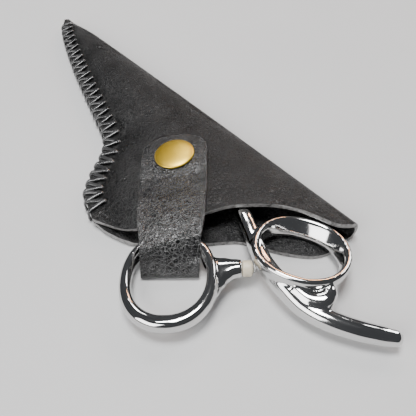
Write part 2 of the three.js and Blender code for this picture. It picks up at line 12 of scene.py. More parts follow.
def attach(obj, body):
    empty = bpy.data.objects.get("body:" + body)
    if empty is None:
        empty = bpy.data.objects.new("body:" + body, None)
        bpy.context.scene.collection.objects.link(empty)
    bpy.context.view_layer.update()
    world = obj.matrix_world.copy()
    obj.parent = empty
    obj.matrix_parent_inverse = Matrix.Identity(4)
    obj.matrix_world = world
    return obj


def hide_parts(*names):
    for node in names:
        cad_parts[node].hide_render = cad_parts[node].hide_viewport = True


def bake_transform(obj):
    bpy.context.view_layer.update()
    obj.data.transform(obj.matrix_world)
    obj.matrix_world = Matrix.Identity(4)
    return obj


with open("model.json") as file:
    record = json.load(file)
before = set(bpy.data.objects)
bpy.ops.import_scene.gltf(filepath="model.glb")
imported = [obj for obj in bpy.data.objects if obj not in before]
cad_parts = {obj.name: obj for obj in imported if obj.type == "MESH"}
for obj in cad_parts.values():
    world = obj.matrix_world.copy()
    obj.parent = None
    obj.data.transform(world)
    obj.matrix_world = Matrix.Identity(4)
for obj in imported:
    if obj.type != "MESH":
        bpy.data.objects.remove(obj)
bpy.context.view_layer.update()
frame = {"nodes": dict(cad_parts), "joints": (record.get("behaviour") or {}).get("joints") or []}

PIVOT_X = 3.5
PIVOT_AT = {j["name"]: j for j in frame["joints"]}["blade_open"]["pos_m"]
SHIFT_X, SHIFT_Y = PIVOT_AT[0] * 1000 - PIVOT_X, PIVOT_AT[1] * 1000
random.seed(7)

# ---- driving dimensions, mm, as in the CAD ----
LEATHER = 1.6                   # thickness of the sheath's leather
FLANGE_LIFT = 0.8               # room under the laced margin for the lace on the back
FOLD_TOP_X, FOLD_TOP_Y, FOLD_SLOPE = 5.0, 74.0, 0.2213
# the laced edge and what goes with it: (y, value)
LACED_EDGE = [(82.5, 0.6), (70, -3.8), (43, -8.3), (11, -11.7), (-5, -13.7), (-13, -18), (-22, -26),
              (-32, -30.6), (-60, -31.5), (-100, -31.5)]
FLANGE_WIDTH = [(-40, 6.6), (0, 6.0), (45, 5.4), (70, 4.8)]
CROWN = [(-90, 9.6), (-60, 10.1), (-30, 10.2), (0, 10.0), (40, 9.2), (60, 8.6), (80, 6.4)]
CROWN_EASE = [(-55, 4.4), (-32, 6.5), (0, 3.6), (40, 2.4), (70, 1.9)]
FOLD_HEIGHT = [(-85, 6.6), (60, 6.2), (80, 5.0)]
# the mouth's lips, laced side to fold: (x, y)
FRONT_LIP = [(-31.5, -38.6), (-29.6, -41), (-25, -47.4), (-21.5, -51.2), (-16, -54.2), (-10, -56),
             (0, -58), (8.5, -59.4), (15.7, -62.4), (22, -65.8), (26.8, -69.6), (30.6, -74.2),
             (34, -79.6), (37, -82), (44, -84)]
BACK_LIP = [(-31, -38.8), (-28.6, -45), (-24, -51.6), (-19.5, -53.4), (-17.6, -52.2), (-12.2, -55.2),
            (-6, -58.6), (-3.6, -62.4), (6.6, -67), (12, -72), (18, -78.2), (25, -83.2),
            (31, -84.6), (36.4, -83.6), (40.5, -83)]
STRIP_TOP_Y = 82.2              # where the sheath's point ends
LACE_PITCH, LACE_START = 4.35, 3.2
LACE_FROM_Y, LACE_TO_Y = -36.5, 79
HOLE_INSET = 1.5                # of the lace holes, from the inside of the margin
LACE_HALF_W, LACE_HALF_T = 0.68, 0.4
LOW_TOP, HIGH_BOTTOM, BLADE_THICK = 3.7, 4.05, 1.5
BOSS_R, BLADE_TIP_Y, BLADE_ROOT_Y = 6.2, 60, -5
VIEW_TURN = 29.2                # degrees the thumb ring and strap are turned from the blades
# finger rings: centre, half axes, turn, tilt, the band's half thickness and half height,
# then how much it swells in front, leans outwards and grows taller on its outer side
THUMB = dict(x=-20.2, y=-71.1, z=5.3, a=12.6, b=14.3, psi=-VIEW_TURN, tilt=-5, hr=1.45, hz=2.7,
             swell=0.9, lean=0, taller=0)
FINGER = dict(x=16.7, y=-83.3, z=7.2, a=11.8, b=13.3, psi=38.4, tilt=12, hr=1.2, hz=2.0,
              swell=0, lean=30, taller=1.4)
# the bumper's axis: how far forward of the thumb ring's centre, how far right, how high
BUMPER_FORWARD, BUMPER_AT, BUMPER_Z = 3.0, 21.1, 5.9
STRAP_HALF = 0.6                # half the strap's thickness
SNAP_X, SNAP_Y, CAP_R, CAP_SINK = 1.6, -33.2, 6.7, 0.32
CREASE_W, SNAP_LEAN = 3.4, 0.12
STRAP_SLANT = 0.22              # the bend over the ring runs slantwise by this much
# the strap over the ring: how far forward of the ring's centre, how high
STRAP_PATH = [(4.6, 3.5), (6.0, 5.5), (7.7, 7.9), (9.6, 9.7), (12.2, 10.6), (15, 11.1), (18.5, 11.35),
              (23, 11.4), (29, 11.25), (36, 11.0), (44.5, 11.0), (53.4, 11.0)]
# the root of the strap, from inside the holster out to the crease: place, height, width, middle
STRAP_ROOT = [(24.4, 2.2, 12, -1), (18, 2.2, 12.2, -1), (16.6, 2.1, 12.6, -1), (15.2, 1.5, 13.4, -1),
              (13.4, 1.0, 14.6, -0.5), (11, 0.7, 16.4, 0), (7.5, 0.62, 17.4, 0), (5, 0.62, 17.4, 0),
              (3.9, 0.78, 17.4, 0), (3.3, 1.3, 17.4, 0), (3.7, 2.2, 17.4, 0)]
STRAP_WIDTH = [(0, 17.4), (9, 17.6), (12, 18.6), (17, 20.4), (30, 21.6), (60, 22)]
STRAP_END_W, STRAP_ROUND_W = 53.4, 45     # the strap's end, and where it starts to round off

# ---- camera ----
CAMERA_AT, CAMERA_LOOK = (-47.8, -143.4, 128.0), (0.314, 0.561, -0.766)
SENSOR_MM, FOCAL, PICTURE_WIDTH = 36.0, 500.0, 416      # focal length in the same unit as the picture's width


# ---- small tools ----
def mix(a, b, t):
    return a + (b - a) * t


def clamp01(t):
    return min(1.0, max(0.0, t))


def smooth(t):
    c = clamp01(t)
    return c * c * (3 - 2 * c)


def stop(stops, p):
    """Reads a value between (position, value) stops."""
    rows = stops if stops[0][0] < stops[-1][0] else stops[::-1]
    if p <= rows[0][0]:
        return rows[0][1]
    for (p0, v0), (p1, v1) in zip(rows, rows[1:]):
        if p <= p1:
            return mix(v0, v1, (p - p0) / (p1 - p0))
    return rows[-1][1]


def spline(points, steps):
    """A smooth run of points through the given ones, uniform Catmull-Rom, steps per gap."""
    pts = [Vector(p) for p in points]
    pts = [2 * pts[0] - pts[1]] + pts + [2 * pts[-1] - pts[-2]]
    out = []
    for i in range(1, len(pts) - 2):
        a, b, c, d = pts[i - 1:i + 3]
        for k in range(steps):
            t = k / steps
            out.append(0.5 * ((2 * b) + (c - a) * t + (2 * a - 5 * b + 4 * c - d) * t ** 2
                              + (3 * b - a - 3 * c + d) * t ** 3))
    return out + [pts[-2].copy()]


def row_frame(p):
    """A point of the drawing, in millimetres, as a place in the row, in metres."""
    return ((p[0] + SHIFT_X) / 1000, (p[1] + SHIFT_Y) / 1000, p[2] / 1000)


def make_object(name, points, faces):
    mesh = bpy.data.meshes.new(name)
    mesh.from_pydata([row_frame(p) for p in points], [], faces)
    mesh.validate()
    obj = bpy.data.objects.new(name, mesh)
    bpy.context.scene.collection.objects.link(obj)
    bpy.context.view_layer.objects.active = obj
    for o in bpy.context.selected_objects:
        o.select_set(False)
    obj.select_set(True)
    bpy.ops.object.mode_set(mode="EDIT")
    bpy.ops.mesh.select_all(action="SELECT")
    bpy.ops.mesh.remove_doubles(threshold=1e-7)
    bpy.ops.mesh.normals_make_consistent(inside=False)
    bpy.ops.object.mode_set(mode="OBJECT")
    mesh.polygons.foreach_set("use_smooth", [True] * len(mesh.polygons))
    return obj


def skin(rings, closed=False):
    """Points and faces of a solid through rings of points."""
    n, m = len(rings[0]), len(rings)
    points, faces = [p for r in rings for p in r], []
    for i in range(m if closed else m - 1):
        k = ((i + 1) % m) * n
        for j in range(n):
            a, b = i * n + j, i * n + (j + 1) % n
            faces.append((a, b, k + (j + 1) % n, k + j))
    if not closed:
        faces += [tuple(range(n)), tuple((m - 1) * n + j for j in range(n))]
    return points, faces


def merge(*shells):
    """Several shells of points and faces as one."""
    points, faces = [], []
    for p, f in shells:
        k = len(points)
        points += list(p)
        faces += [tuple(i + k for i in face) for face in f]
    return points, faces


def add_modifier(obj, kind, **settings):
    mod = obj.modifiers.new(kind.title(), kind)
    for key, value in settings.items():
        setattr(mod, key, value)
    return mod


def apply_all(obj):
    """Replaces the mesh by what its modifiers make of it."""
    graph = bpy.context.evaluated_depsgraph_get()
    mesh = bpy.data.meshes.new_from_object(obj.evaluated_get(graph))
    obj.modifiers.clear()
    obj.data = mesh
    mesh.polygons.foreach_set("use_smooth", [True] * len(mesh.polygons))
    return obj


def round_box(t, a, b, power):
    """A point of a superellipse with half axes a and b."""
    c, s, e = math.cos(t), math.sin(t), 2 / power
    return a * math.copysign(abs(c) ** e, c), b * math.copysign(abs(s) ** e, s)


def limb(stations, steps=8, sides=28, power=2.6):
    """A limb through stations (x, y, z, half width, half height)."""
    path = spline([s[:3] for s in stations], steps)
    rings = []
    for i, p in enumerate(path):
        d = path[min(i + 1, len(path) - 1)] - path[max(i - 1, 0)]
        k = min(len(stations) - 2, i // steps)
        f = smooth(i / steps - k)
        hw, hh = (mix(stations[k][c], stations[k + 1][c], f) for c in (3, 4))
        flat = math.hypot(d.x, d.y)
        sx, sy = d.y / flat, -d.x / flat
        ring = []
        for j in range(sides):
            u, v = round_box(2 * math.pi * j / sides, hw, hh, power)
            ring.append((p.x + sx * u, p.y + sy * u, p.z + v))
        rings.append(ring)
    return skin(rings)


def ring_band(r, around=160, sides=28, power=2.4, oval=2.15):
    """A finger ring: a rounded band round an oval, thicker in front and leaned outwards on its outer side."""
    turn = Matrix.Rotation(math.radians(r["psi"]), 3, "Z") @ Matrix.Rotation(math.radians(r["tilt"]), 3, "Y")
    at, rings = Vector((r["x"], r["y"], r["z"])), []
    for i in range(around):
        t = 2 * math.pi * i / around
        hr = r["hr"] + r["swell"] * (0.5 - 0.5 * math.sin(t)) ** 2
        outer = (0.5 + 0.5 * math.cos(t + 0.17)) ** 1.3
        lean = math.radians(r["lean"] * outer)
        x, y = round_box(t, r["a"], r["b"], oval)
        normal = Vector((math.cos(t) / r["a"], math.sin(t) / r["b"])).normalized()
        ring = []
        for j in range(sides):
            p, q = round_box(2 * math.pi * j / sides, hr, r["hz"] + r["taller"] * outer, power)
            u, v = p * math.cos(lean) + q * math.sin(lean), q * math.cos(lean) - p * math.sin(lean)
            ring.append(at + turn @ Vector((x + u * normal.x, y + u * normal.y, v)))
        rings.append(ring)
    return skin(rings, closed=True)


def turned(profile, sides):
    """A turned solid about +Z from (r, z) points that start and end on the axis."""
    body, rings = profile[1:-1], []
    for r, z in body:
        rings.append([(r * math.cos(2 * math.pi * i / sides), r * math.sin(2 * math.pi * i / sides), z)
                      for i in range(sides)])
    return skin(rings)


def rounded(profile, radius):
    """The same profile with its inner corners cut a little, so light catches them."""
    out = [profile[0]]
    for a, b, c in zip(profile, profile[1:], profile[2:]):
        va, vb, vc = Vector(a), Vector(b), Vector(c)
        for other in (va, vc):
            d = other - vb
            out.append(tuple(vb + d.normalized() * min(radius, d.length * 0.4)))
    return out + [profile[-1]]


def moved(shell, matrix):
    points, faces = shell
    return [matrix @ Vector(p) for p in points], faces


# ---- the holster's shape, as in the CAD ----
MARGIN_SOFT = 2.6               # how wide the step beside the margin is rounded
FOLD_EASE = 4                   # how fast the panel comes down towards the fold
NEAR_Y = 45                     # edge pieces further along than this are never the nearest
EDGE = [Vector((x, y)) for x, y, _ in spline([(x, y, 0) for y, x in LACED_EDGE], 10)]
EDGE_BY_Y = [(p.y, p.x) for p in EDGE]


def fold_x(y):
    return FOLD_TOP_X + (FOLD_TOP_Y - y) * FOLD_SLOPE


def laced_x(y):
    return stop(EDGE_BY_Y, y)


def edge_gap(x, y):
    """Distance from the laced edge."""
    best, q = 1e9, Vector((x, y))
    for a, b in zip(EDGE, EDGE[1:]):
        if min(abs(a.y - y), abs(b.y - y)) > NEAR_Y:
            continue
        d = b - a
        t = clamp01((q - a).dot(d) / d.length_squared)
        best = min(best, (q - a - d * t).length)
    return best


def fold_radius(y):
    return min(stop(FOLD_HEIGHT, y) / 2, (fold_x(y) - laced_x(y)) * 0.3)


def roof(x, y, gap=None, soften=True):
    """Height of the front panel's outside."""
    base, crown = FLANGE_LIFT + 2 * LEATHER, stop(CROWN, y)
    g = (edge_gap(x, y) if gap is None else gap) - stop(FLANGE_WIDTH, y)
    soft = min(MARGIN_SOFT, stop(FLANGE_WIDTH, y) * 0.5) if soften else 0.0
    d = (g + math.hypot(g, soft)) / 2
    e = max(0.0, fold_x(y) - x)
    kf = (2 * fold_radius(y) - base) / (crown - base)
    k = kf + (1 - kf) * (1 - math.exp(-e / FOLD_EASE))
    return base + (crown - base) * (1 - math.exp(-d / stop(CROWN_EASE, y))) * k


def sole(x, y):
    """Height of the back panel's outside: up at the laced margin, down on the table elsewhere."""
    gap = edge_gap(x, y)
    return FLANGE_LIFT * (1 - smooth((gap - stop(FLANGE_WIDTH, y) + 0.4) / 3))


def lace_stops():
    """Places along the laced edge, every half pitch, with the way inwards."""
    stops, along, nxt = [], 0.0, LACE_START
    for a, b in zip(EDGE, EDGE[1:]):
        step = (b - a).length
        while nxt <= along + step:
            p, d = a.lerp(b, (nxt - along) / step), (b - a).normalized()
            inward = Vector((-d.y, d.x))
            if inward.x < 0:
                inward = -inward
            if LACE_FROM_Y < p.y < LACE_TO_Y:
                stops.append((p, inward))
            nxt += LACE_PITCH / 2
        along += step
    return stops


def lace_inset(y):
    return stop(FLANGE_WIDTH, y) - HOLE_INSET


def smooth_lip(lip):
    return [(p.x, p.y) for p in spline([(x, y, 0) for x, y in lip], 8)]


FRONT_CURVE, BACK_CURVE = smooth_lip(FRONT_LIP), smooth_lip(BACK_LIP)
LACE_STOPS = lace_stops()
HOLES = [p + n * lace_inset(p.y) for p, n in LACE_STOPS[::2]]


def lip_y(lip, s, low=-95.0, high=0.0):
    """y where the line that lies the share s of the way from laced edge to fold meets the lip."""
    for _ in range(30):
        mid = (low + high) / 2
        x = mix(laced_x(mid), fold_x(mid), s)
        if mid < stop(lip, x):
            low = mid
        else:
            high = mid
    return (low + high) / 2


def leather_wrinkle(x, y, side):
    """Height of the soft folds in worn leather, mm."""
    p = Vector((x * 0.05, y * 0.05, side * 3.1))
    long_folds = noise.noise(Vector((x * 0.11 + y * 0.05, (y - x * 0.4) * 0.025, 2.0 + side)))
    return 0.34 * noise.noise(p) + 0.22 * long_folds + 0.05 * noise.noise(p * 9)


def dimple(x, y):
    """How far the lace pulls the margin in beside each hole, mm."""
    pull = 0.0
    for h in HOLES:
        d2 = (h.x - x) ** 2 + (h.y - y) ** 2
        if d2 < 16:
            pull += 0.42 * math.exp(-d2 / 2.2)
    return pull


def sheath_strip():
    """Rows of mid-surface points of the folded strip, from the tip to the mouth.

    Each row runs from the front laced edge over the front, round the fold and back to the back laced edge."""
    margin = [i / 12 for i in range(13)]
    across = [(i / 44) ** 0.9 for i in range(1, 45)]
    half, rows, count = LEATHER / 2, [], 210
    columns = [("m", u) for u in margin] + [("a", u) for u in across]
    lips = {}
    for t_index in range(count + 1):
        t = t_index / count
        row = []

        def place(kind, u, back):
            # the share across is fixed by where the column meets the mouth, so that columns don't cross
            key = (kind, round(u, 5), back)
            if key not in lips:
                s0 = u * 0.12 if kind == "m" else 0.12 + 0.88 * u
                y_lip = lip_y(BACK_CURVE, s0)
                if not back:
                    y_lip = max(lip_y(FRONT_CURVE, s0), y_lip)
                lips[key] = y_lip
            y = mix(STRIP_TOP_Y, lips[key], t)
            x0, x1, rf = laced_x(y), fold_x(y), fold_radius(y)
            width = min(stop(FLANGE_WIDTH, y), (x1 - x0) * 0.5)
            xm, end = x0 + min(width * 1.05, (x1 - x0) * 0.45), x1 - rf
            xm = mix(xm, x0 + (x1 - x0) * 0.12, smooth((-20 - y) / 14))
            x = mix(x0, xm, u) if kind == "m" else mix(xm, end, u)
            return x, y

        for kind, u in columns:
            x, y = place(kind, u, False)
            gap = edge_gap(x, y)
            z = roof(x, y, gap) - half - dimple(x, y)
            z += leather_wrinkle(x, y, 0) * smooth((gap - 5) / 5) * smooth((80 - y) / 12) * 0.9
            row.append((x, y, z))
        _, fy = place("a", 1.0, False)
        _, by = place("a", 1.0, True)
        for i in range(1, 12):
            a = math.pi * i / 12
            y = mix(fy, by, i / 12)
            rf = fold_radius(y)
            z_hi, z_lo = roof(fold_x(y) - rf, y) - half, half
            mid_z = (z_hi + z_lo) / 2
            row.append((fold_x(y) - rf + (rf - half) * math.sin(a), y,
                        mid_z + (z_hi - z_lo) / 2 * math.cos(a)))
        for kind, u in reversed(columns):
            x, y = place(kind, u, True)
            row.append((x, y, sole(x, y) + half))
        rows.append(row)
    return rows


def grid_faces(rows, cols):
    return [(i * cols + j, i * cols + j + 1, (i + 1) * cols + j + 1, (i + 1) * cols + j)
            for i in range(rows - 1) for j in range(cols - 1)]


def leather_sheet(name, points, cols, material, thickness, bevel):
    """A sheet of leather about a grid of mid-surface points; its cut edge has a material of its own."""
    obj = make_object(name, points, grid_faces(len(points) // cols, cols))
    obj.data.materials.append(material)
    # the cut edge's material is painted pale grey as a highlight
    obj.data.materials.append(CUT_EDGE_HIGHLIGHT)
    add_modifier(obj, "SOLIDIFY", thickness=thickness / 1000, offset=0.0, material_offset_rim=1)
    add_modifier(obj, "BEVEL", width=bevel, segments=3, limit_method="ANGLE", angle_limit=math.radians(50))
    return apply_all(obj)


def make_sheath():
    rows = sheath_strip()
    return leather_sheet("holster_leather", [p for r in rows for p in r], len(rows[0]), BLACK,
                         LEATHER - 0.06, 0.00035)


# ---- lacing ----
def sweep(path, half_w, half_t, up, sides=10):
    """A flat rounded strap along a path; up gives the flat side's direction at each point."""
    rings = []
    for i, p in enumerate(path):
        d = (path[min(i + 1, len(path) - 1)] - path[max(i - 1, 0)]).normalized()
        n = (up[i] - d * up[i].dot(d)).normalized()
        side = d.cross(n)
        ring = []
        for j in range(sides):
            u, v = round_box(2 * math.pi * j / sides, half_w, half_t, 2.7)
            ring.append(p + side * u + n * v)
        rings.append(ring)
    return skin(rings)


def make_lacing():
    """Stitches from hole to hole, each over the front, round the edge and back under the margin."""
    shells, z_mid, up_z = [], FLANGE_LIFT + LEATHER, Vector((0, 0, 1))

    def top(v):
        return roof(v.x, v.y)

    for i, (p, n) in enumerate(LACE_STOPS):
        if i % 2:
            continue
        hole, tangent = p + n * lace_inset(p.y), Vector((-n.y, n.x))
        for step in (-1, 1):
            if not 0 <= i + step < len(LACE_STOPS):
                continue
            q, qn = LACE_STOPS[i + step]
            lift = 0.32 if step > 0 else 0.0
            rim = q + Vector((-qn.y, qn.x)) * (random.uniform(-0.22, 0.22) + 0.12 * step)
            inner = hole + tangent * (-0.35 * step)
            hook = inner + n * (1.0 if step > 0 else 0.15)
            outside, under = rim - qn * 0.6, roof(rim.x, rim.y)
            pts = [(hook + n * 0.25, top(hook) - 0.9, n), (hook, top(hook) + 0.1, n * 0.8),
                   (hook - n * 0.45, top(hook) + 0.42, n * 0.2),
                   (inner, top(inner) + 0.46 + lift * 0.5, None),
                   (inner.lerp(rim, 0.3), top(inner.lerp(rim, 0.3)) + 0.42 + lift, None),
                   (inner.lerp(rim, 0.6), top(inner.lerp(rim, 0.6)) + 0.4 + lift, None),
                   (inner.lerp(rim, 0.85), under + 0.4 + lift, None),
                   (rim + qn * 0.1, under + 0.26 + lift, -qn * 0.6), (outside, under - 0.5, -qn * 2),
                   (outside, z_mid, -qn * 9), (outside, FLANGE_LIFT + 0.3, -qn * 2),
                   (rim + qn * 0.3, 0.42, -qn * 0.4), (rim.lerp(inner, 0.5), 0.42, None), (inner, 0.42, None)]
            path = spline([(v.x, v.y, z) for v, z, _ in pts], 4)
            ups = []
            for v, z, lean in pts:
                sign = -1 if z < z_mid - 0.1 else 1
                base = up_z * sign if abs(z - z_mid) > 0.1 else up_z * 0.0001
                ups.append(base + (Vector((lean.x, lean.y, 0)) if lean is not None else Vector()))
            shells.append(sweep(path, LACE_HALF_W, LACE_HALF_T, spline(ups, 4)))
    return make_object("edge_lace", *merge(*shells))


# ---- strap ----
TURN = math.radians(VIEW_TURN)
FORWARD, SIDE = Vector((math.sin(TURN), math.cos(TURN))), Vector((math.cos(TURN), -math.sin(TURN)))


def spot(w, lat):
    """The place that lies w forward of the thumb ring's centre, along the strap, and lat to its right."""
    return (THUMB["x"] + FORWARD.x * w + SIDE.x * lat, THUMB["y"] + FORWARD.y * w + SIDE.y * lat)


def strap_half_width(w):
    k = clamp01((w - STRAP_ROUND_W) / (STRAP_END_W - STRAP_ROUND_W))
    return stop(STRAP_WIDTH, w) / 2 * max(0.05, (1 - k ** 2.5)) ** (1 / 2.5)


def strap_mid(w, lat, z):
    """Height of the strap's middle: free over the ring, then laid on the front panel."""
    x, y = spot(w, lat)
    stand = mix(0.3, 1.3, smooth((w - 34) / 6))
    free = z + 0.087 * lat * smooth((w - 5) / 5)
    lean = SNAP_LEAN * lat * smooth((w - 24) / 8)
    if w <= 15:
        return free
    return max(free - 0.6 * smooth((w - 24) / 6), roof(x, y, soften=False) + stand + STRAP_HALF) + lean


def make_strap():
    """The whole strap: its root on the holster, the crease under the ring, and the part over it."""
    rows, cols = [], 30
    for w, z, width, mid in STRAP_ROOT:
        rows.append((w, z, width / 2, mid, 0.0))
    for w, z in STRAP_PATH:
        rows.append((w, z, strap_half_width(w), 0.0, 1.0))
    wz = spline([(r[0], r[1], 0) for r in rows], 12)
    side = spline([(r[2], r[3], r[4]) for r in rows], 12)
    points = []
    for p, (half, mid, over) in zip(wz, side):
        w, z = p.x, p.y
        if over > 0.99:
            half = strap_half_width(w)
        for j in range(cols + 1):
            lat = mid + mix(-half, half, j / cols)
            if over > 0.99:
                slanted = smooth((w - 5) / 3) * (1 - smooth((w - 22) / 8))
                z = mix(p.y, stop(STRAP_PATH, w - STRAP_SLANT * lat), slanted)
            top_z = strap_mid(w, lat, z) if over > 0.5 else z
            if over > 0.99:
                fade = smooth((w - 5) / 4)
                top_z += fade * 0.16 * noise.noise(Vector((w * 0.09, lat * 0.16, 5)))
                top_z += 0.1 * fade * math.exp(-((abs(lat) - half) / 1.6) ** 2) - 0.1 * fade
            points.append((*spot(w, lat), top_z))
    return leather_sheet("snap_strap", points, cols + 1, STRAP_BLACK, 2 * STRAP_HALF - 0.1, 0.0003)


def snap_matrix():
    """Where the cap sits: square to the panel under it, and leaned with the strap."""
    h, z = 3.0, roof(SNAP_X, SNAP_Y, soften=False)
    dx = (roof(SNAP_X + h, SNAP_Y) - roof(SNAP_X - h, SNAP_Y)) / (2 * h)
    dy = (roof(SNAP_X, SNAP_Y + h) - roof(SNAP_X, SNAP_Y - h)) / (2 * h)
    normal = Vector((-dx - SNAP_LEAN * SIDE.x, -dy - SNAP_LEAN * SIDE.y, 1)).normalized()
    turn = Vector((0, 0, 1)).rotation_difference(normal)
    return Matrix.Translation((SNAP_X, SNAP_Y, z - CAP_SINK)) @ turn.to_matrix().to_4x4()


def make_cap():
    angles = [math.pi / 2 * i / 18 for i in range(18)]
    dome = [(CAP_R * math.cos(a), 3.02 + 1.26 * math.sin(a)) for a in angles]
    profile = [(0, 1.16), (1.0, 1.18), (1.0, 2.72), (6.2, 2.74), (6.62, 2.82), *dome,
               (0.25, 4.28), (0, 4.28)]
    return make_object("snap_dome", *moved(turned(profile, 96), snap_matrix()))


# ---- shears ----
def blade(name, side, inner, outward):
    """A blade with its pivot boss. side says where its spine lies, outward which way its thickness goes."""
    # y, reach of the spine, reach of the edge, thickness
    stations = [(BLADE_ROOT_Y, 5.6, 4.6, 1.5), (6, 6.0, 3.6, 1.5), (14, 5.8, 2.8, 1.5), (26, 5.1, 2.3, 1.5),
                (38, 4.1, 1.8, 1.4), (48, 3.0, 1.4, 1.2), (55, 1.9, 0.9, 1.0), (58.6, 1.1, 0.5, 0.9),
                (BLADE_TIP_Y, 0.5, 0.2, 0.8)]
    # share of the width from the edge, share of the thickness
    columns = [(0, 0.16), (0.03, 0.3), (0.12, 0.42), (0.3, 0.74), (0.5, 0.94), (0.72, 1), (0.9, 0.92),
               (0.97, 0.8), (1, 0.66)]
    rings = []
    for y in [mix(BLADE_ROOT_Y, BLADE_TIP_Y, i / 70) for i in range(71)]:
        spine, edge, thick = (stop([(s[0], s[c]) for s in stations], y) for c in (1, 2, 3))
        x0, x1 = PIVOT_X - 0.005 * y - side * edge, PIVOT_X - 0.005 * y + side * spine
        back = [(mix(x0, x1, u), y, inner + outward * thick * t) for u, t in columns]
        face = [(mix(x0, x1, u), y, inner) for u, _ in reversed(columns)]
        rings.append(back + face)
    angles = [2 * math.pi * i / 72 for i in range(72)]
    boss = skin([[(PIVOT_X + r * math.cos(a), r * math.sin(a), z) for a in angles]
                 for r, z in boss_rings(inner, outward)])
    return make_object(name, *merge(skin(rings), boss))


def boss_rings(inner, outward):
    t = outward * BLADE_THICK
    return [(BOSS_R, inner), (BOSS_R, inner + t * 0.85), (BOSS_R - 0.25, inner + t), (0.5, inner + t)]


def welded(name, shells):
    """Overlapping shells as one smooth skin, like a forging."""
    obj = make_object(name, *merge(*shells))
    add_modifier(obj, "REMESH", mode="VOXEL", voxel_size=0.32 / 1000)
    apply_all(obj)
    add_modifier(obj, "SMOOTH", factor=0.5, iterations=6)
    return apply_all(obj)


def make_thumb_handle():
    shank = limb([(PIVOT_X, -2, 4.8, 4.4, 0.74), (2.4, -12, 4.85, 3.4, 0.78), (0.4, -22, 5.0, 2.9, 0.9),
                  (-2.2, -33, 5.3, 2.7, 1.5), (-5.6, -45, 5.5, 2.7, 1.75), (-9.0, -54, 5.6, 2.9, 1.8),
                  (-11.2, -60.2, 5.6, 3.6, 2.0)], power=3)
    stub = limb([(*spot(w, lat), BUMPER_Z, hw, hh) for w, lat, hw, hh in [
        (0.9, 11.3, 7.6, 2.4), (1.7, 13.6, 5.6, 2.4), (2.5, 16.2, 4.0, 2.45), (2.9, 18.8, 3.0, 2.5),
        (BUMPER_FORWARD, BUMPER_AT - 0.2, 2.65, 2.55)]], power=2.1)
    return welded("thumb_handle", [shank, ring_band(THUMB), stub])


def make_finger_handle():
    shank = limb([(PIVOT_X, -2, 2.95, 4.4, 0.74), (4.6, -12, 2.95, 3.4, 0.74), (7.0, -23, 3.1, 2.9, 0.86),
                  (9.8, -35, 4.2, 2.7, 1.7), (11.6, -47, 5.2, 2.6, 2.0), (11.4, -58, 5.9, 2.5, 2.1),
                  (9.4, -67, 6.4, 2.4, 2.4), (7.2, -75, 6.4, 2.4, 2.8), (6.1, -81, 6.0, 2.5, 3.0)], power=3)
    tang = limb([(6.6, -77, 6.3, 2.4, 3.0), (6.1, -83, 6.2, 2.6, 3.5), (6.7, -90, 5.7, 2.9, 3.6),
                 (8.4, -97.2, 4.7, 3.0, 3.4), (11.8, -103.6, 4.6, 3.0, 3.3), (16.4, -109.2, 4.4, 2.9, 3.1),
                 (21.2, -113.8, 4.2, 2.7, 2.9), (24.4, -116.5, 4.1, 2.3, 2.5),
                 (25.7, -117.5, 4.05, 1.3, 1.5)], power=2.2)
    web = limb([(7.6, -92.5, 6.8, 1.6, 3.0), (10.2, -97.0, 6.5, 2.6, 3.0), (13.2, -99.2, 6.9, 3.0, 3.1),
                (15.4, -98.6, 7.4, 2.4, 2.7), (17.0, -97.4, 8.0, 1.5, 2.0)], power=2.2)
    return welded("finger_handle", [shank, ring_band(FINGER, power=2.8), tang, web])


def bumper_matrix():
    x, y = spot(BUMPER_FORWARD, BUMPER_AT)
    turn = Vector((0, 0, 1)).rotation_difference(Vector((SIDE.x, SIDE.y, 0)))
    return Matrix.Translation((x, y, BUMPER_Z)) @ turn.to_matrix().to_4x4()


def make_bumper():
    profile = rounded([(0, -2.9), (0.95, -2.9), (0.95, -0.02), (2.1, 0), (2.4, 0.3), (2.4, 2.3), (2.1, 2.9),
                       (1.5, 3.1), (0.2, 3.15), (0, 3.15)], 0.15)
    return make_object("nylon_bumper", *moved(turned(profile, 48), bumper_matrix()))


def make_tip():
    profile = rounded([(0, 3.22), (1.2, 3.22), (1.35, 3.5), (1.1, 3.95), (0.2, 4.1), (0, 4.1)], 0.1)
    return make_object("bumper_pad", *moved(turned(profile, 40), bumper_matrix()))


